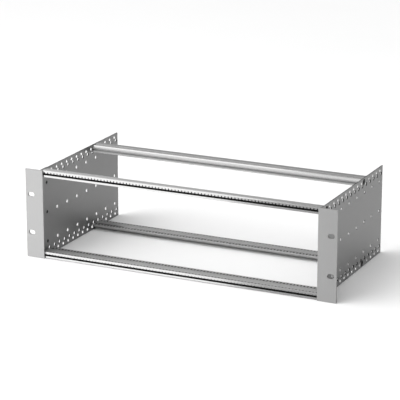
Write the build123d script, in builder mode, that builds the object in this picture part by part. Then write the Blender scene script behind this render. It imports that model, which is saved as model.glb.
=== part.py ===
from build123d import *
import os

# Subrack frame for plug-in cards: two perforated side panels, two mounting flanges and four
# extruded rails that each hold a threaded strip, joined by countersunk screws.
# Millimetres, +X across the rack, +Y from the front to the back, +Z up. The origin is on the
# floor, under the middle of the frame. Depths are measured from the front face of the flanges.

# Card positions and rack heights
card_pitch = 5.08
card_positions = 84
rack_unit = 44.45
unit_count = 3
unit_clearance = 0.85

# Side panels and the grid of holes in them, with rows measured from the panel's middle height
panel_thickness = 1.5
panel_depth = 235.0
hole_diameter = 5.5
edge_hole_diameter = 4.2
hole_sides = 8
hole_pitch = 15.0
hole_margin = 4.0
edge_row = 60.9
pair_row = 55.2
middle_row = 44.45
middle_row_step = 2

# Mounting flanges
flange_width = 27.94
flange_thickness = 2.5
leg_thickness = 1.5
leg_margin = 0.5
slot_inset = 8.75
slot_spacing = 57.15
slot_length = 10.3
slot_width = 6.8

# Rail section, measured back from the face with the groove and inwards from the outer side
rail_inset = 0.25
rail_height = 9.8
rail_block = 10.2
rail_lip_depth = 25.5
rail_lip_thickness = 2.0
rail_boss_radius = 4.4
rail_screw_back = 13.9
rear_screw_columns = 9
groove_wall = 1.6
groove_mouth = 2.7
groove_middle = 4.8

# Threaded strips
strip_height = 5.6
strip_thickness = 2.0
strip_clearance = 0.1

# Countersunk screws
screw_diameter = 5.0
screw_head_diameter = 8.8
screw_bite = 10.0
screw_end_gap = 0.2
thread_clearance = 0.05

# Sizes that follow
height = unit_count * rack_unit - unit_clearance
field_width = card_positions * card_pitch
rail_length = field_width + card_pitch
depth = flange_thickness + panel_depth
front = -depth / 2
middle = height / 2
panel_inner = rail_length / 2
panel_outer = panel_inner + panel_thickness
leg_outer = panel_outer + leg_thickness
flange_edge = field_width / 2 + flange_width
hole_first = flange_thickness + rail_screw_back
rear_screw = hole_first + rear_screw_columns * hole_pitch + 2 * card_pitch
rear_face = rear_screw + rail_screw_back
head_radius = screw_head_diameter / 2
shank_radius = screw_diameter / 2
thread_radius = shank_radius + thread_clearance
clear_radius = hole_diameter / 2
head_depth = panel_thickness
leg_depth = rail_screw_back + head_radius + leg_margin

os.makedirs("parts", exist_ok=True)


def save(part, name):
    """Name a finished part and write it to its own file."""
    part.label = name
    export_step(part, f"parts/{name}.step")


def side_plane(side, x, y, z):
    """Plane facing outwards on the left (-1) or right (1) side: local x runs back, local z out."""
    return Plane(origin=(side * x, y, z), x_dir=(0, 1, 0), z_dir=(side, 0, 0))


def hole_places(rows, first, step, shift=0.0):
    """Places in these rows at every step-th column, as depth and height from the panel's middle."""
    columns = int((depth - hole_margin - hole_first) // hole_pitch) + 1
    depths = [hole_first + column * hole_pitch + shift for column in range(first, columns, step)]
    return [(y, row) for y in depths for row in rows]


def light_hole(radius):
    """Sketch a hole with few sides, which a shaft of the given radius just clears."""
    return RegularPolygon(radius, hole_sides, major_radius=False, mode=Mode.SUBTRACT)


def countersinks(places, z):
    """Cut conical screw seats that open towards local +z at depth and height places."""
    with Locations([(y, row, z) for y, row in places]):
        Cone(clear_radius, head_radius, head_depth, align=top_aligned, mode=Mode.SUBTRACT)


top_aligned = (Align.CENTER, Align.CENTER, Align.MAX)
edge_rows = [edge_row, -edge_row]
middle_rows = [middle_row, 0, -middle_row]

# Side panels: the left one is the mirror image of the right one
panel_side = side_plane(1, panel_inner, front, middle)
front_screws = [(hole_first, row) for row in edge_rows]
rear_screws = [(rear_screw, row) for row in edge_rows]
flange_screws = [(hole_first, row) for row in middle_rows]
edge_holes = [
    (y, row) for y, row in hole_places(edge_rows, 1, 1)
    if abs(y - rear_screw) > head_radius + edge_hole_diameter / 2
]
pair_holes = hole_places([pair_row, -pair_row], 0, 1, card_pitch)
middle_holes = hole_places(middle_rows, middle_row_step, middle_row_step)
with BuildPart(panel_side) as side_panel_right:
    with BuildSketch(panel_side):
        with Locations((flange_thickness, 0)):
            Rectangle(panel_depth, height, align=(Align.MIN, Align.CENTER))
        with Locations(edge_holes):
            light_hole(edge_hole_diameter / 2)
        with Locations(front_screws + pair_holes + middle_holes):
            light_hole(clear_radius)
        with Locations(flange_screws):
            light_hole(thread_radius)
    extrude(amount=panel_thickness)
    countersinks(rear_screws, panel_thickness)

with BuildPart() as side_panel_left:
    mirror(side_panel_right.part, about=Plane.YZ)

save(side_panel_right.part, "side_panel_right")
save(side_panel_left.part, "side_panel_left")

# Mounting flanges: an angle with its leg outside the panel and its edge over the rail ends
flange_front = Plane(origin=(0, front, middle), x_dir=(1, 0, 0), z_dir=(0, -1, 0))
leg_side = side_plane(1, leg_outer, front, middle)
with BuildPart() as mounting_flange_right:
    with BuildSketch(Plane.XY):
        with Locations((flange_edge, front)):
            Rectangle(flange_width, flange_thickness, align=(Align.MAX, Align.MIN))
        with Locations((leg_outer, front + flange_thickness)):
            Rectangle(leg_thickness, leg_depth, align=(Align.MAX, Align.MIN))
    extrude(amount=height)
    with BuildSketch(flange_front):
        with Locations([(flange_edge - slot_inset, up * slot_spacing / 2) for up in (1, -1)]):
            SlotOverall(slot_length, slot_width)
    extrude(amount=-flange_thickness, mode=Mode.SUBTRACT)
    with Locations(leg_side):
        countersinks(front_screws + flange_screws, 0)

with BuildPart() as mounting_flange_left:
    mirror(mounting_flange_right.part, about=Plane.YZ)

save(mounting_flange_right.part, "mounting_flange_right")
save(mounting_flange_left.part, "mounting_flange_left")

# Rails and threaded strips: one section, turned for each of the four places
screw_up = middle - edge_row - rail_inset
chamber_depth = strip_thickness + strip_clearance
chamber_height = strip_height + 2 * strip_clearance
chamber_back = groove_wall + chamber_depth
strip_middle = groove_wall + strip_thickness / 2
corner = (Align.MIN, Align.MIN)
edge = (Align.MIN, Align.CENTER)

for row_name, back, face in [("front", 1, front + flange_thickness), ("rear", -1, front + rear_face)]:
    for level, inward, outer in [("bottom", 1, rail_inset), ("top", -1, height - rail_inset)]:
        section = Plane(origin=(0, face, outer), x_dir=(0, back, 0), z_dir=(back * inward, 0, 0))

        with BuildPart(section) as rail:
            with BuildSketch(section):
                Rectangle(rail_block, rail_height, align=corner)
                with Locations((0, rail_height - rail_lip_thickness)):
                    Rectangle(rail_lip_depth, rail_lip_thickness, align=corner)
                with Locations((rail_screw_back, screw_up)):
                    Circle(rail_boss_radius)
                    light_hole(thread_radius)
                with Locations((0, groove_middle)):
                    Rectangle(chamber_back, groove_mouth, align=edge, mode=Mode.SUBTRACT)
                with Locations((groove_wall, groove_middle)):
                    Rectangle(chamber_depth, chamber_height, align=edge, mode=Mode.SUBTRACT)
            extrude(amount=rail_length / 2, both=True)

        with BuildPart(section) as strip:
            with BuildSketch(section):
                with Locations((strip_middle, groove_middle)):
                    Rectangle(strip_thickness, strip_height)
            extrude(amount=rail_length / 2, both=True)

        save(rail.part, f"{row_name}_rail_{level}")
        save(strip.part, f"threaded_strip_{row_name}_{level}")


def screw_pair(name, x, y, z, length):
    """Make one countersunk screw on each side, flush with the face at x."""
    ends = [side_plane(side, x, y, z) for side in (1, -1)]
    with BuildPart(*ends) as screws:
        Cone(shank_radius, head_radius, head_depth, align=top_aligned)
        Cylinder(shank_radius, length, align=top_aligned)
    save(screws.part, name)


# Countersunk screws, one on each side of the frame in every part
for level, row in [("top", edge_row), ("bottom", -edge_row)]:
    rail_end = leg_outer - panel_inner
    screw_pair(f"rail_screws_front_{level}", leg_outer, front + hole_first, middle + row,
               rail_end + screw_bite)
    screw_pair(f"rail_screws_rear_{level}", panel_outer, front + rear_screw, middle + row,
               panel_thickness + screw_bite)
for level, row in [("upper", middle_row), ("middle", 0), ("lower", -middle_row)]:
    screw_pair(f"flange_screws_{level}", leg_outer, front + hole_first, middle + row,
               leg_outer - panel_inner - screw_end_gap)
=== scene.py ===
import math

import bmesh
import bpy
from mathutils import Matrix, Vector


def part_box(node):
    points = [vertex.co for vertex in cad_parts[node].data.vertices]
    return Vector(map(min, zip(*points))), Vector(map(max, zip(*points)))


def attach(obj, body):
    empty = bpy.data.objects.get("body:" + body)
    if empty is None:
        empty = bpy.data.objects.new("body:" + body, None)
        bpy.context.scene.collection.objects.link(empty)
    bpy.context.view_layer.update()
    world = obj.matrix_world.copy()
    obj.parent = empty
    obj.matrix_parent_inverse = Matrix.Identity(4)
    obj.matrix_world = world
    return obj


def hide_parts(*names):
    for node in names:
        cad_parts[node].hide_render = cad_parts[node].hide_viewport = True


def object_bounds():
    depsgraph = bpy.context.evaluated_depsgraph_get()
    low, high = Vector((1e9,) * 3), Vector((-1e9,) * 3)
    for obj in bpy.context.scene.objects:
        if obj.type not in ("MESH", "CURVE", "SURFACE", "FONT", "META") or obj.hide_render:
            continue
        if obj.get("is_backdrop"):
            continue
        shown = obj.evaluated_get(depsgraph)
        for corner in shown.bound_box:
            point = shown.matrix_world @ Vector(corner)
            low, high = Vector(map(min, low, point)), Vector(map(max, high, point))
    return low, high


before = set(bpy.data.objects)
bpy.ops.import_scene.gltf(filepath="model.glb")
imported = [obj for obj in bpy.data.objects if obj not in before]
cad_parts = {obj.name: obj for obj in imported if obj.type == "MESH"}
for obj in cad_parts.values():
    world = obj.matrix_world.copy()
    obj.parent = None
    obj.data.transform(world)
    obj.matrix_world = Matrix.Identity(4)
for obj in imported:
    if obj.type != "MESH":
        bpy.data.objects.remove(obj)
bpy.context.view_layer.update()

# Sizes in metres, read from the frame where a node has them
MM = 0.001
panel_low, panel_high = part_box("side_panel_right")
flange_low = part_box("mounting_flange_right")[0]
rail_low, rail_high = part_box("front_rail_bottom")
rear_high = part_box("rear_rail_bottom")[1]
strip_low, strip_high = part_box("threaded_strip_front_bottom")
front_screw_low, front_screw_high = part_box("rail_screws_front_bottom")
rear_screw_low, rear_screw_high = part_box("rail_screws_rear_bottom")
middle = (panel_low[2] + panel_high[2]) / 2
card_pitch = 5.08 * MM
card_positions = 84
hole_pitch = 15 * MM
hole_radius = 2.75 * MM
edge_hole_radius = 2.1 * MM
thread_radius = 2.55 * MM
tapped_hole_radius = 1.15 * MM
seat_clearance = 0.05 * MM
edge_row = 60.9 * MM
pair_row = 55.2 * MM
middle_row = 44.45 * MM
first_column = (front_screw_low[1] + front_screw_high[1]) / 2
rear_screw = (rear_screw_low[1] + rear_screw_high[1]) / 2
head_radius = (front_screw_high[1] - front_screw_low[1]) / 2
screw_bite = 10 * MM
screw_end_gap = 0.2 * MM
panel_edge = 0.04 * MM
flange_edge = 0.3 * MM
hole_sides = 36
merge_gap = 0.001 * MM

# The rails' section in millimetres, measured back from its face and in from its outer side. The
# crown is the low arch of the inner side. The round boss starts at the lip and ends at the block,
# at boss_turns in degrees.
groove_wall = 1.6
groove_mouth = 2.7
chamber_low = 1.9
chamber_high = 7.7
chamber_back = 3.7
block_back = 10.2
crown_front = (5.8, 9.3)
crown_middle = (11.6, -24.6)
crown_radius = 34.4
crown_back = (18.0, 9.1)
lip_back = 25.5
lip_outer = 7.8
lip_inner = 9.1
boss_middle = (13.9, 5.1)
boss_radius = 4.4
boss_turns = (35.0, -147.2)
boss_lip = 17.37
rail_chamfer = 0.15

# Holes along the rails' inner side and notches in the grooves of the front rails
lip_hole_level = 9.0
front_hole_back = 3.0
front_hole_radius = 1.2
back_hole_back = 20.7
back_hole_radius = 1.3
back_hole_stretch = 1.8
hole_reach = 2.0
notch_radius = {"top": 0.9, "bottom": 0.55}
notch_stretch = 2.5
notch_reach = 4.0


# Node trees
class Wire:
    """An output socket in a node tree. Arithmetic on it adds Math nodes."""

    def __init__(self, tree, socket):
        self.tree = tree
        self.socket = socket

    def node(self, kind, settings=None, values=None, output=0):
        """Add a node: its settings first, then the values or links of its sockets."""
        return add_node(self.tree, kind, settings, values, output)

    def maths(self, operation, *operands):
        """Add a Math node on numbers or wires."""
        return self.node("ShaderNodeMath", {"operation": operation}, dict(enumerate(operands)))

    def __add__(self, other):
        return self.maths("ADD", self, other)

    def __radd__(self, other):
        return self.maths("ADD", other, self)

    def __sub__(self, other):
        return self.maths("SUBTRACT", self, other)

    def __rsub__(self, other):
        return self.maths("SUBTRACT", other, self)

    def __mul__(self, other):
        return self.maths("MULTIPLY", self, other)

    def __rmul__(self, other):
        return self.maths("MULTIPLY", other, self)

    def __lt__(self, other):
        return self.maths("LESS_THAN", self, other)

    def __gt__(self, other):
        return self.maths("GREATER_THAN", self, other)

    def __abs__(self):
        return self.maths("ABSOLUTE", self)


def add_node(tree, kind, settings=None, values=None, output=0):
    """Add a node to a tree and return the wire of one of its outputs."""
    made = tree.nodes.new(kind)
    for name, value in (settings or {}).items():
        setattr(made, name, value)
    for key, value in (values or {}).items():
        socket = made.inputs[key]
        for item in value if isinstance(value, list) else [value]:
            if isinstance(item, Wire):
                tree.links.new(item.socket, socket)
            else:
                socket.default_value = item
    return Wire(tree, made.outputs[output]) if made.outputs else made


# Finishes
# Near black for painted shade, and a light grey for painted light on the panels' edge hole walls
shade_tone = 0.004
painted_light_tone = 0.6
relief = 0.2 * MM


def new_finish(name):
    """Start a material and return it with the wire of its Object coordinates."""
    finish = bpy.data.materials.new(name)
    finish.use_nodes = True
    finish.node_tree.nodes.clear()
    place = add_node(finish.node_tree, "ShaderNodeTexCoord", output="Object")
    return finish, place


def end_finish(finish, values):
    """Close a material with a Principled shader that has these values or wires."""
    tree = finish.node_tree
    shader = add_node(tree, "ShaderNodeBsdfPrincipled", values=values)
    add_node(tree, "ShaderNodeOutputMaterial", values={"Surface": shader})
    return finish


def grain(place, stretch, detail=3.0):
    """Streaked noise: stretch is the number of streaks per metre along X, Y and Z."""
    spread = place.node("ShaderNodeMapping", values={"Vector": place, "Scale": stretch})
    return place.node("ShaderNodeTexNoise",
                      values={"Vector": spread, "Scale": 1.0, "Detail": detail})


def roughened(height, strength):
    """A Bump node that raises a surface by a height between 0 and 1."""
    return height.node("ShaderNodeBump",
                       values={"Strength": strength, "Distance": relief, "Height": height})


def tinted(amount, dark, light):
    """Blend two colours by an amount between 0 and 1."""
    return amount.node("ShaderNodeMix", {"data_type": "RGBA"}, {0: amount, 6: dark, 7: light},
                       output=2)


def grey(value, warmth=0.0):
    """An opaque grey, a little warm or cold."""
    return (value * (1 + warmth), value, value * (1 - warmth), 1.0)


def axis_of(place, axis):
    """One coordinate of a vector wire."""
    return place.node("ShaderNodeSeparateXYZ", values={0: place}, output=axis)


def true_normal(place, axis):
    """One coordinate of the direction that a face looks in."""
    return axis_of(place.node("ShaderNodeNewGeometry", output="True Normal"), axis)


def within(value, centre, reach):
    """Mask of where a value lies within reach of a centre."""
    return abs(value - centre) < reach


def sheet_edge(place):
    """Mask of the hole walls and outer edges of an upright sheet that faces sideways."""
    return abs(true_normal(place, "X")) < 0.5


def hole_row(place, row, radius):
    """Mask of the two rows of holes at one height above and below the middle."""
    row_spread = 1.1
    return within(abs(axis_of(place, "Z") - middle), row, radius * row_spread)


def panel_shade(place):
    """Painted shade: full on the panels' paired hole walls, partial on their top and bottom edges.
    """
    edge_skin = 0.05 * MM
    edge_shade = 0.6
    at_edge = abs(axis_of(place, "Z") - middle) > panel_high[2] - middle - edge_skin
    return sheet_edge(place) * (hole_row(place, pair_row, hole_radius) + at_edge * edge_shade)


def painted_light_bores(place):
    """Mask of the edge rows' hole walls, which get painted light: a light grey as if they were lit.
    """
    half_depth = (panel_high[1] - panel_low[1]) / 2
    inside = within(axis_of(place, "Y"), panel_low[1] + half_depth, half_depth - MM)
    return sheet_edge(place) * hole_row(place, edge_row, edge_hole_radius) * inside


def behind_face(place):
    """How far a point lies behind the face of the nearer row of rails."""
    face_middle = (rail_low[1] + rear_high[1]) / 2
    return (rear_high[1] - rail_low[1]) / 2 - abs(axis_of(place, "Y") - face_middle)


def rail_shade(place):
    """Painted shade on the rails: full in grooves and small holes, and a little on the outer sides.

    The groove and the band that the holes reach through the lip are zones in from the outer side
    and back from the face, each with its middle and its reach.
    """
    groove_in, groove_in_reach = 4.8 * MM, 3.0 * MM
    groove_back, groove_back_reach = 1.9 * MM, 1.85 * MM
    holes_in, holes_in_reach = 8.45 * MM, 0.57 * MM
    holes_back, holes_back_reach = 12.75 * MM, 12.2 * MM
    outside_skin = 0.3 * MM
    outside_shade = 0.2
    behind = behind_face(place)
    inwards = middle - rail_low[2] - abs(axis_of(place, "Z") - middle)
    groove = (within(inwards, groove_in, groove_in_reach)
              * within(behind, groove_back, groove_back_reach))
    holes = within(inwards, holes_in, holes_in_reach) * within(behind, holes_back, holes_back_reach)
    return abs(groove - holes) + (inwards < outside_skin) * outside_shade


def rail_sheen(place):
    """Mask of the polished parts: the faces with the grooves and the outer front of the bosses."""
    face_depth = 5 * MM
    boss_depth = 20 * MM
    behind = behind_face(place)
    upright = abs(true_normal(place, "Y")) > 0.15
    boss_front = (behind < boss_depth) * (abs(true_normal(place, "Z")) > 0.45)
    return upright * ((behind < face_depth) + boss_front > 0.5)


def anodised_metal(name, light, streaks, roughness, metallic, dark=None, painted_light=None, gloss=None):
    """Clear anodised aluminium: an even satin grey with faint streaks and cloudy patches.

    The masks that the last three functions make get painted shade, a light grey of painted light
    as on lit walls, or are smoother and more metallic, in that order.
    """
    darkest, lightest = 0.90, 1.08
    gloss_smoother, gloss_metal = 0.2, 0.35
    finish, place = new_finish(name)
    fine = grain(place, streaks)
    cloud = grain(place, (14.0, 14.0, 14.0), 2.0)
    tone = tinted(fine * 0.5 + cloud * 0.5, grey(light * darkest), grey(light * lightest, 0.004))
    rough = roughness + fine * 0.10 + cloud * 0.06
    if dark:
        tone = tinted(dark(place), tone, grey(shade_tone))
    if painted_light:
        tone = tinted(painted_light(place), tone, grey(painted_light_tone))
    if gloss:
        shiny = gloss(place)
        rough = rough - shiny * gloss_smoother
        metallic = metallic + shiny * gloss_metal
    return end_finish(finish, {"Base Color": tone, "Metallic": metallic, "Roughness": rough,
                               "Normal": roughened(fine, 0.06)})


# The panels get painted shade, and painted light on their edge hole walls; the rails painted shade
panel_finish = anodised_metal("anodised_sheet", 0.235, (90.0, 18.0, 900.0), 0.34, 0.85,
                              dark=panel_shade, painted_light=painted_light_bores)
flange_finish = anodised_metal("anodised_flange", 0.31, (900.0, 900.0, 14.0), 0.44, 0.70)
rail_finish = anodised_metal("anodised_rail", 0.35, (12.0, 1100.0, 1100.0), 0.33, 0.55,
                             dark=rail_shade, gloss=rail_sheen)


def groove_shade_steel():
    """Plated steel of the threaded strips, dull and a little mottled, painted near black as the
    shade deep in the rails' grooves.
    """
    finish, place = new_finish("plated_strip")
    mottle = grain(place, (260.0, 260.0, 260.0), 4.0)
    lines = grain(place, (30.0, 1500.0, 1500.0))
    return end_finish(finish, {
        "Base Color": tinted(mottle, grey(0.004, 0.01), grey(0.010, 0.01)),
        "Metallic": 0.6,
        "Specular IOR Level": 0.1,
        "Roughness": 0.40 + mottle * 0.2,
        "Normal": roughened(lines, 0.1),
    })


def black_oxide():
    """Black oxide of the countersunk screws, with a dull, slightly uneven sheen."""
    finish, place = new_finish("black_oxide")
    mottle = grain(place, (700.0, 700.0, 700.0), 4.0)
    return end_finish(finish, {
        "Base Color": tinted(mottle, grey(0.004), grey(0.014)),
        "Metallic": 0.1,
        "Specular IOR Level": 0.08,
        "Roughness": 0.42 + mottle * 0.18,
        "Normal": roughened(mottle, 0.15),
    })


strip_shade_finish = groove_shade_steel()
screw_finish = black_oxide()


# Geometry Nodes
def new_tree(name, inputs):
    """Start a geometry tree with named inputs and return it with their wires."""
    tree = bpy.data.node_groups.new(name, "GeometryNodeTree")
    tree.interface.new_socket("Geometry", in_out="OUTPUT", socket_type="NodeSocketGeometry")
    for label, kind in inputs:
        tree.interface.new_socket(label, in_out="INPUT", socket_type="NodeSocket" + kind)
    entry = tree.nodes.new("NodeGroupInput")
    return tree, {label: Wire(tree, entry.outputs[label]) for label, kind in inputs}


def end_tree(tree, geometry, finish):
    """Close a geometry tree with Realize Instances and Set Material."""
    plain = add_node(tree, "GeometryNodeRealizeInstances", values={0: geometry})
    painted = add_node(tree, "GeometryNodeSetMaterial",
                       values={"Geometry": plain, "Material": finish})
    out = tree.nodes.new("NodeGroupOutput")
    tree.links.new(painted.socket, out.inputs[0])


def grow(name, tree, values):
    """Run a geometry tree with these input values and keep its result as a plain mesh object."""
    seed = bpy.data.objects.new(name, bpy.data.meshes.new(name))
    bpy.context.collection.objects.link(seed)
    modifier = seed.modifiers.new("tree", "NODES")
    modifier.node_group = tree
    for item in tree.interface.items_tree:
        if item.in_out == "INPUT" and item.name in values:
            modifier[item.identifier] = values[item.name]
    evaluated = seed.evaluated_get(bpy.context.evaluated_depsgraph_get())
    mesh = bpy.data.meshes.new_from_object(evaluated)
    seed.modifiers.remove(modifier)
    seed.data = mesh
    mesh.name = name
    return seed


def vector(tree, x=0.0, y=0.0, z=0.0):
    """Combine numbers or wires into a vector."""
    return add_node(tree, "ShaderNodeCombineXYZ", values={"X": x, "Y": y, "Z": z})


def drilled_sheet_tree(name, rows):
    """A flat sheet in local XY with rows of round holes, thickened along +Z.

    Each row names its first place, its pitch, its height and its hole radius among the inputs.
    """
    inputs = [(size, "Float") for size in ("Length", "Width", "Thickness", "Start")]
    inputs += [(f"{label} {size}", "Float") for label, count in rows
               for size in ("first", "pitch", "height", "radius")]
    inputs += [("Finish", "Material")]
    tree, wires = new_tree(name, inputs)
    outline = add_node(tree, "GeometryNodeCurvePrimitiveQuadrilateral",
                       values={"Width": wires["Length"], "Height": wires["Width"]})
    outline = add_node(tree, "GeometryNodeTransform", values={
        "Geometry": outline,
        "Translation": vector(tree, wires["Start"] + wires["Length"] * 0.5),
    })
    curves = [outline]
    for label, count in rows:
        line = add_node(tree, "GeometryNodeMeshLine", values={
            "Count": count,
            "Start Location": vector(tree, wires[f"{label} first"], wires[f"{label} height"]),
            "Offset": vector(tree, wires[f"{label} pitch"]),
        })
        circle = add_node(tree, "GeometryNodeCurvePrimitiveCircle",
                          values={"Resolution": hole_sides, "Radius": wires[f"{label} radius"]})
        rims = add_node(tree, "GeometryNodeInstanceOnPoints",
                        values={"Points": line, "Instance": circle})
        curves.append(add_node(tree, "GeometryNodeRealizeInstances", values={0: rims}))
    joined = add_node(tree, "GeometryNodeJoinGeometry", values={0: curves})
    face = add_node(tree, "GeometryNodeFillCurve", {}, {"Curve": joined})
    back = add_node(tree, "GeometryNodeFlipFaces", values={"Mesh": face})
    raised = add_node(tree, "GeometryNodeExtrudeMesh", {"mode": "FACES"}, {
        "Mesh": face, "Offset": vector(tree, 0.0, 0.0, 1.0), "Offset Scale": wires["Thickness"],
        "Individual": False,
    })
    closed = add_node(tree, "GeometryNodeJoinGeometry", values={0: [raised, back]})
    merged = add_node(tree, "GeometryNodeMergeByDistance",
                      values={"Geometry": closed, "Distance": merge_gap})
    end_tree(tree, merged, wires["Finish"])
    return tree


def place_mesh(piece, matrix):
    """Move a piece's mesh by a matrix, keeping its faces outwards when it is mirrored."""
    piece.data.transform(matrix)
    if matrix.determinant() < 0:
        piece.data.flip_normals()


def mirrored_copy(piece, name, matrix):
    """A copy of a piece with its mesh moved by a matrix."""
    copy = bpy.data.objects.new(name, piece.data.copy())
    copy.data.name = name
    bpy.context.collection.objects.link(copy)
    place_mesh(copy, matrix)
    return copy


def soften(piece, width, segments=2, limit=40):
    """Break the piece's sharp edges by a small radius, and shade it smooth between them."""
    bevel = piece.modifiers.new("edges", "BEVEL")
    bevel.width = width
    bevel.segments = segments
    bevel.limit_method = "ANGLE"
    bevel.angle_limit = math.radians(limit)
    bevel.harden_normals = True
    bpy.context.view_layer.update()
    softened = piece.evaluated_get(bpy.context.evaluated_depsgraph_get())
    mesh = bpy.data.meshes.new_from_object(softened)
    piece.modifiers.remove(bevel)
    mesh.name = piece.name
    piece.data = mesh


# Local sheet axes: X runs to the back, Y up, Z out of the right side
to_side = Matrix(((0, 0, 1, 0), (1, 0, 0, 0), (0, 1, 0, 0), (0, 0, 0, 1)))
flip_x = Matrix.Diagonal((-1, 1, 1, 1))

# Side panels. The edge rows leave out the column at the rear screw.
columns = 15
rear_gap = 10
row_kinds = {
    "edge": (rear_gap - 1, first_column + hole_pitch, hole_pitch, edge_row, edge_hole_radius),
    "edge end": (columns - rear_gap - 1, first_column + (rear_gap + 1) * hole_pitch, hole_pitch,
                 edge_row, edge_hole_radius),
    "pair": (columns, first_column + card_pitch, hole_pitch, pair_row, hole_radius),
    "middle": (columns // 2, first_column + 2 * hole_pitch, 2 * hole_pitch, middle_row,
               hole_radius),
    "flange screw": (1, first_column, hole_pitch, middle_row, thread_radius),
    "front screw": (1, first_column, hole_pitch, edge_row, hole_radius),
    "rear screw": (1, rear_screw, hole_pitch, edge_row, head_radius + seat_clearance),
}
panel_rows = []
panel_values = {"Length": panel_high[1] - panel_low[1], "Width": panel_high[2] - panel_low[2],
                "Thickness": panel_high[0] - panel_low[0], "Start": panel_low[1],
                "Finish": panel_finish}


def add_panel_row(label, count, first, pitch, height, radius):
    """Add one row of holes to the panels."""
    panel_rows.append((label, count))
    panel_values.update({f"{label} first": first, f"{label} pitch": pitch,
                         f"{label} height": height, f"{label} radius": radius})


for sign, tag in ((1, "upper"), (-1, "lower")):
    for kind, (count, first, pitch, row, radius) in row_kinds.items():
        add_panel_row(f"{tag} {kind}", count, first, pitch, sign * row, radius)
for kind in ("middle", "flange screw"):
    count, first, pitch, row, radius = row_kinds[kind]
    add_panel_row(f"centre {kind}", count, first, pitch, 0.0, radius)
panel_tree = drilled_sheet_tree("perforated_panel", panel_rows)
panel_right = grow("perforated_panel_right", panel_tree, panel_values)
place_mesh(panel_right, Matrix.Translation((panel_low[0], 0, middle)) @ to_side)
soften(panel_right, panel_edge)
panel_left = mirrored_copy(panel_right, "perforated_panel_left", flip_x)

# Threaded strips
strip_tree = drilled_sheet_tree("tapped_strip", [("holes", card_positions)])
strip_values = {
    "Length": strip_high[0] - strip_low[0], "Width": strip_high[2] - strip_low[2],
    "Thickness": strip_high[1] - strip_low[1], "Start": strip_low[0],
    "holes first": -(card_positions - 1) / 2 * card_pitch, "holes pitch": card_pitch,
    "holes height": 0.0, "holes radius": tapped_hole_radius, "Finish": strip_shade_finish,
}
strips = {}
to_front = Matrix(((1, 0, 0, 0), (0, 0, -1, 0), (0, 1, 0, 0), (0, 0, 0, 1)))
for row in ("front", "rear"):
    for level in ("top", "bottom"):
        low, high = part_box(f"threaded_strip_{row}_{level}")
        strip = grow(f"tapped_strip_{row}_{level}", strip_tree, strip_values)
        place_mesh(strip, Matrix.Translation((0, high[1], (low[2] + high[2]) / 2)) @ to_front)
        strips[row, level] = strip


# Rails
def arc(centre, radius, start, end, steps):
    """Points on a circle from one angle to another, in degrees."""
    turns = [math.radians(start + (end - start) * step / steps) for step in range(steps + 1)]
    return [(centre[0] + radius * math.cos(turn), centre[1] + radius * math.sin(turn))
            for turn in turns]


def broken_corners(points, sharp, width):
    """A closed outline with the listed corners cut by a small chamfer."""
    outline = []
    for place, point in enumerate(points):
        if place not in sharp:
            outline.append(Vector(point))
            continue
        for other in (points[place - 1], points[(place + 1) % len(points)]):
            outline.append(Vector(point) + (Vector(other) - Vector(point)).normalized() * width)
    return outline


def rail_section(slope, groove_low, inner_edge):
    """A rail's outline in millimetres, measured back from its face and in from its outer side.

    The outer corner slopes this far down the face, the groove's mouth starts at groove_low, and
    inner_edge is where the face ends.
    """
    groove_high = groove_low + groove_mouth
    points = [
        (slope * 2, 0), (0, slope), (0, groove_low), (groove_wall, groove_low),
        (groove_wall, chamber_low), (chamber_back, chamber_low), (chamber_back, chamber_high),
        (groove_wall, chamber_high), (groove_wall, groove_high), (0, groove_high),
        (0, inner_edge), crown_front,
    ]
    points += arc(crown_middle, crown_radius, 97.0, 83.0, 8)
    points += [crown_back, (lip_back, lip_inner), (lip_back, lip_outer), (boss_lip, lip_outer)]
    points += arc(boss_middle, boss_radius, *boss_turns, 16)
    points += [(block_back, 0)]
    sharp = [(0, groove_low), (0, groove_high), (0, inner_edge), (lip_back, lip_inner),
             (lip_back, lip_outer), (block_back, 0)]
    return broken_corners(points, {points.index(point) for point in sharp}, rail_chamfer)


# Each rail's slope, its groove's low side and its inner edge. The groove's mouth sits a little low
# on both levels of the front rails.
section_sizes = {
    ("front", "top"): (1.1, 3.85, 9.6),
    ("front", "bottom"): (0.3, 3.05, 9.4),
    ("rear", "top"): (0.3, 3.45, 9.4),
    ("rear", "bottom"): (0.3, 3.45, 9.4),
}
sections = {key: rail_section(*sizes) for key, sizes in section_sizes.items()}
rail_length = rail_high[0] - rail_low[0]


def rail_body(name, section, face, back, outer, inward):
    """A rail's plain extrusion, from its face towards the other rails of its level."""
    mesh = bpy.data.meshes.new(name)
    form = bmesh.new()
    ends = []
    for x in (-rail_length / 2, rail_length / 2):
        ends.append([form.verts.new((x, face + back * u * MM, outer + inward * v * MM))
                     for u, v in section])
    count = len(section)
    form.faces.new(ends[0])
    form.faces.new(ends[1])
    for place in range(count):
        after = (place + 1) % count
        form.faces.new((ends[0][place], ends[0][after], ends[1][after], ends[1][place]))
    bmesh.ops.recalc_face_normals(form, faces=form.faces[:])
    form.to_mesh(mesh)
    form.free()
    mesh.materials.append(rail_finish)
    body = bpy.data.objects.new(name, mesh)
    bpy.context.collection.objects.link(body)
    return body


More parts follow.
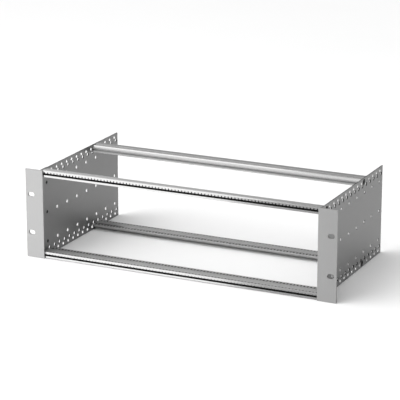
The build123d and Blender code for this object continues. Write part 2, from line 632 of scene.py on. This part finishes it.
def drilled_rail_tree(name, rows):
    """A rail with rows of round or oblong holes sunk into it at every card position.

    Each row has its depth, height, radius, stretch and reach among the inputs. A row named after
    the face is drilled from the front, the others from above.
    """
    inputs = [("Rail", "Object"), ("First", "Float"), ("Pitch", "Float"), ("Finish", "Material")]
    inputs += [(f"{label} {size}", "Float") for label in rows
               for size in ("y", "z", "radius", "stretch", "reach")]
    tree, wires = new_tree(name, inputs)
    body = add_node(tree, "GeometryNodeObjectInfo", values={"Object": wires["Rail"]},
                    output="Geometry")
    drills = []
    for label in rows:
        drill = add_node(tree, "GeometryNodeMeshCylinder", values={
            "Vertices": 16, "Radius": wires[f"{label} radius"], "Depth": wires[f"{label} reach"]})
        drill = add_node(tree, "GeometryNodeTransform", values={
            "Geometry": drill, "Scale": vector(tree, 1.0, wires[f"{label} stretch"], 1.0)})
        if label.startswith("face"):
            drill = add_node(tree, "GeometryNodeTransform",
                             values={"Geometry": drill, "Rotation": (math.pi / 2, 0, 0)})
        line = add_node(tree, "GeometryNodeMeshLine", values={
            "Count": card_positions,
            "Start Location": vector(tree, wires["First"], wires[f"{label} y"],
                                     wires[f"{label} z"]),
            "Offset": vector(tree, wires["Pitch"]),
        })
        drills.append(add_node(tree, "GeometryNodeInstanceOnPoints",
                               values={"Points": line, "Instance": drill}))
    joined = add_node(tree, "GeometryNodeJoinGeometry", values={0: drills})
    plain = add_node(tree, "GeometryNodeRealizeInstances", values={0: joined})
    cut = add_node(tree, "GeometryNodeMeshBoolean", {"operation": "DIFFERENCE", "solver": "EXACT"},
                   {"Mesh 1": body, "Mesh 2": plain})
    end_tree(tree, cut, wires["Finish"])
    return tree


def smooth_by_angle(piece, limit=30):
    """Shade a piece smooth except over its sharp edges."""
    piece.data.shade_smooth()
    piece.data.set_sharp_from_angle(angle=math.radians(limit))


def drill_values(label, y, z, radius, stretch, reach):
    """The input values of one row of holes in a rail, with its radius and reach in millimetres."""
    return {f"{label} y": y, f"{label} z": z, f"{label} radius": radius * MM,
            f"{label} stretch": stretch, f"{label} reach": reach * MM}


rail_trees = {
    "front": drilled_rail_tree("front_rail", ["face notch", "front hole", "back hole"]),
    "rear": drilled_rail_tree("rear_rail", ["front hole", "back hole"]),
}
rails = {}
for row, back in (("front", 1), ("rear", -1)):
    for level, inward in (("bottom", 1), ("top", -1)):
        low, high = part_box(f"{row}_rail_{level}")
        face = low[1] if back > 0 else high[1]
        outer = low[2] if inward > 0 else high[2]
        body = rail_body(f"{row}_{level}_extrusion", sections[row, level], face, back, outer,
                         inward)
        lip = outer + inward * lip_hole_level * MM
        values = {"Rail": body, "First": -(card_positions - 1) / 2 * card_pitch,
                  "Pitch": card_pitch, "Finish": rail_finish}
        values.update(drill_values("front hole", face + back * front_hole_back * MM, lip,
                                   front_hole_radius, 1.0, hole_reach))
        values.update(drill_values("back hole", face + back * back_hole_back * MM, lip,
                                   back_hole_radius, back_hole_stretch, hole_reach))
        if row == "front":
            groove_low = section_sizes[row, level][1]
            upper_edge = groove_low + (groove_mouth if inward > 0 else 0)
            values.update(drill_values("face notch", face, outer + inward * upper_edge * MM,
                                       notch_radius[level], notch_stretch, notch_reach))
        rail = grow(f"drilled_rail_{row}_{level}", rail_trees[row], values)
        bpy.data.objects.remove(body)
        smooth_by_angle(rail)
        rails[row, level] = rail


# Flanges
def dressed_copy(node, name, finish, width):
    """A merged copy of a node's mesh with its edges softened."""
    form = bmesh.new()
    form.from_mesh(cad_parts[node].data)
    bmesh.ops.remove_doubles(form, verts=form.verts[:], dist=5 * merge_gap)
    bmesh.ops.dissolve_limit(form, angle_limit=math.radians(1), verts=form.verts[:],
                             edges=form.edges[:])
    mesh = bpy.data.meshes.new(name)
    form.to_mesh(mesh)
    form.free()
    mesh.materials.clear()
    mesh.materials.append(finish)
    piece = bpy.data.objects.new(name, mesh)
    bpy.context.collection.objects.link(piece)
    smooth_by_angle(piece)
    soften(piece, width)
    return piece


flange_right = dressed_copy("mounting_flange_right", "slotted_flange_right", flange_finish,
                            flange_edge)
flange_left = mirrored_copy(flange_right, "slotted_flange_left", flip_x)


# Countersunk screws
def socket_screw(name, places, length):
    """Countersunk screws with hexagon sockets, with a head face at each place and its side."""
    sides = 48
    seat_depth = panel_high[0] - panel_low[0]
    shank = 2.5 * MM
    shank_end = 0.5 * MM
    socket = 1.5 * MM
    socket_depth = 1.3 * MM
    socket_chamfer = (0.1 * MM, 0.06 * MM)
    head_chamfer = (0.15 * MM, 0.1 * MM)
    turns = [math.tau * step / sides for step in range(sides)]
    hexagon = [socket / math.cos((turn % (math.pi / 3)) - math.pi / 6) for turn in turns]
    rings = [(hexagon, -socket_depth), (hexagon, -socket_chamfer[1]),
             ([radius + socket_chamfer[0] for radius in hexagon], 0.0)]
    rings += [([radius] * sides, z) for radius, z in (
        (head_radius - head_chamfer[0], 0.0), (head_radius, -head_chamfer[1]),
        (shank, -seat_depth), (shank, -length + shank_end), (shank - shank_end, -length))]
    form = bmesh.new()
    for side, place in places:
        out, up, back = Vector((side, 0, 0)), Vector((0, 0, 1)), Vector((0, 1, 0))
        made = [[form.verts.new(Vector(place) + out * z + back * radius * math.cos(turn)
                                + up * radius * math.sin(turn))
                 for radius, turn in zip(radii, turns)] for radii, z in rings]
        for inner, outer in zip(made, made[1:]):
            for step in range(sides):
                after = (step + 1) % sides
                form.faces.new((inner[step], inner[after], outer[after], outer[step]))
        form.faces.new(made[0])
        form.faces.new(made[-1])
    bmesh.ops.recalc_face_normals(form, faces=form.faces[:])
    mesh = bpy.data.meshes.new(name)
    form.to_mesh(mesh)
    form.free()
    mesh.materials.append(screw_finish)
    screws = bpy.data.objects.new(name, mesh)
    bpy.context.collection.objects.link(screws)
    smooth_by_angle(screws)
    return screws


screws = {}
for node in [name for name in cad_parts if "screws" in name]:
    low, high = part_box(node)
    depth, height = (low[1] + high[1]) / 2, (low[2] + high[2]) / 2
    past_panel = -screw_end_gap if "flange" in node else screw_bite
    heads = [(1, (high[0], depth, height)), (-1, (low[0], depth, height))]
    screws[node] = socket_screw(f"socket_{node}", heads, high[0] - panel_low[0] + past_panel)

# What each piece replaces, and its slot
pieces = {
    "side_panel_right": (panel_right, "panel_aluminium"),
    "side_panel_left": (panel_left, "panel_aluminium"),
    "mounting_flange_right": (flange_right, "flange_aluminium"),
    "mounting_flange_left": (flange_left, "flange_aluminium"),
}
for (row, level), strip in strips.items():
    pieces[f"threaded_strip_{row}_{level}"] = (strip, "strip_steel")
for (row, level), rail in rails.items():
    pieces[f"{row}_rail_{level}"] = (rail, "rail_aluminium")
for node, piece in screws.items():
    pieces[node] = (piece, "black_screw")
for node, (piece, slot) in pieces.items():
    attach(piece, "root")
    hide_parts(node)

# Floor, light and camera
floor_finish, floor_place = new_finish("pale_floor")
end_finish(floor_finish, {
    "Base Color": tinted(grain(floor_place, (3.0, 3.0, 3.0)), grey(0.78), grey(0.80)),
    "Roughness": 0.9,
})
floor_reach = 12.0
floor_drop = 0.2 * MM
floor_split = flange_low[1]


def floor_sheet(name, near, far):
    """One sheet of the pale floor between two depths."""
    mesh = bpy.data.meshes.new(name)
    mesh.from_pydata([(-floor_reach, near, 0), (floor_reach, near, 0), (floor_reach, far, 0),
                      (-floor_reach, far, 0)], [], [(0, 1, 2, 3)])
    mesh.materials.append(floor_finish)
    sheet = bpy.data.objects.new(name, mesh)
    sheet.location.z = -floor_drop
    bpy.context.collection.objects.link(sheet)
    sheet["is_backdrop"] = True
    return sheet


# The sheet in front isn't seen in reflections, so the front faces mirror the studio's own light
floor_sheet("floor_front", -floor_reach, floor_split).visible_glossy = False
floor_sheet("floor_back", floor_split, floor_reach)


def glowing_sheet(name, corners, faces, strength, unseen_by):
    """A white sheet that glows and isn't seen by some kinds of light ray."""
    finish, place = new_finish(name)
    light = add_node(finish.node_tree, "ShaderNodeEmission", values={
        "Color": tinted(grain(place, (2.0, 2.0, 2.0)), grey(0.98), grey(1.0)),
        "Strength": strength})
    add_node(finish.node_tree, "ShaderNodeOutputMaterial", values={"Surface": light})
    mesh = bpy.data.meshes.new(name)
    mesh.from_pydata(corners, [], faces)
    mesh.materials.append(finish)
    sheet = bpy.data.objects.new(name, mesh)
    bpy.context.collection.objects.link(sheet)
    for kind in unseen_by:
        setattr(sheet, f"visible_{kind}", False)
    sheet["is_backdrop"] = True


# Cards seen only in reflections: the front faces of the rails mirror the low card, and their round
# bosses the one overhead. The gleam on the rails ends at the right edges of the cards.
for name, corners, strength in (
        ("low_card", [(-2.2, -0.57, -0.25), (-0.115, -0.57, -0.25), (-0.115, -0.57, 0.10),
                      (-2.2, -0.57, 0.10)], 3.0),
        ("overhead_card", [(-1.0, -0.2, 0.6), (-0.08, -0.2, 0.6), (-0.08, 0.35, 0.6),
                           (-1.0, 0.35, 0.6)], 2.8)):
    glowing_sheet(name, corners, [(0, 1, 2, 3)], strength, ("camera", "diffuse", "shadow"))

# A white wall round the floor, which only the camera sees, from low down
wall_sides = 48
wall_radius = 11.5
wall_height = 8.0
wall_turns = [math.tau * step / wall_sides for step in range(wall_sides)]
glowing_sheet(
    "studio_wall",
    [(wall_radius * math.cos(turn), wall_radius * math.sin(turn), z)
     for z in (0.0, wall_height) for turn in wall_turns],
    [(step, (step + 1) % wall_sides, wall_sides + (step + 1) % wall_sides, wall_sides + step)
     for step in range(wall_sides)],
    1.0, ("glossy", "diffuse", "shadow"))

world = bpy.data.worlds.new("studio")
bpy.context.scene.world = world
world.use_nodes = True
world.node_tree.nodes.clear()
toward = add_node(world.node_tree, "ShaderNodeTexCoord", output="Generated")


def glow_towards(side, start, end, least, most):
    """A glow that grows smoothly with how far a direction turns towards one side."""
    facing = toward.node("ShaderNodeVectorMath", {"operation": "DOT_PRODUCT"},
                         {0: toward, 1: tuple(Vector(side).normalized())}, output="Value")
    return toward.node("ShaderNodeMapRange", {"interpolation_type": "SMOOTHSTEP"},
                       {"Value": facing, "From Min": start, "From Max": end,
                        "To Min": least, "To Max": most}, output="Result")


# The sky is brightest at the front left, with a weaker glow behind that the rails' tops mirror
high_sky = (glow_towards((-0.45, -0.75, 0.48), -0.5, 1.0, 0.12, 1.9)
            + glow_towards((-0.40, 0.87, 0.29), 0.72, 0.96, 0.0, 0.22))
low_sky = 0.85
low_share = toward.node("ShaderNodeMapRange", values={
    "Value": axis_of(toward, "Z"), "From Min": -0.06, "From Max": 0.0,
    "To Min": 1.0, "To Max": 0.0}, output="Result")
sky = toward.node("ShaderNodeBackground", values={
    "Color": (1, 1, 1, 1), "Strength": high_sky + low_share * (low_sky - high_sky)})
add_node(world.node_tree, "ShaderNodeOutputWorld", values={"Surface": sky})


def soft_light(name, place, aim, width, power):
    """Add a square area light at a place, turned towards a point."""
    lamp = bpy.data.lights.new(name, "AREA")
    lamp.shape = "SQUARE"
    lamp.size = width
    lamp.energy = power
    holder = bpy.data.objects.new(name, lamp)
    holder.location = place
    holder.rotation_euler = (Vector(aim) - Vector(place)).to_track_quat("-Z", "Y").to_euler()
    holder.visible_glossy = False
    bpy.context.collection.objects.link(holder)


soft_light("key_light", (-1.1, -1.3, 1.6), (0, 0, 0.05), 2.1, 30.0)

camera = bpy.data.cameras.new("photo_camera")
camera.lens = 178.307
camera.sensor_width = 36.0
camera.clip_end = 50.0
eye = bpy.data.objects.new("photo_camera", camera)
eye.location = (1.160883, -2.491780, 0.908404)
eye.rotation_euler = Vector((-0.40999, 0.86567, -0.28727)).to_track_quat("-Z", "Y").to_euler()
bpy.context.collection.objects.link(eye)
bpy.context.scene.camera = eye
bpy.context.scene.view_settings.view_transform = "Standard"

low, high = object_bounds()
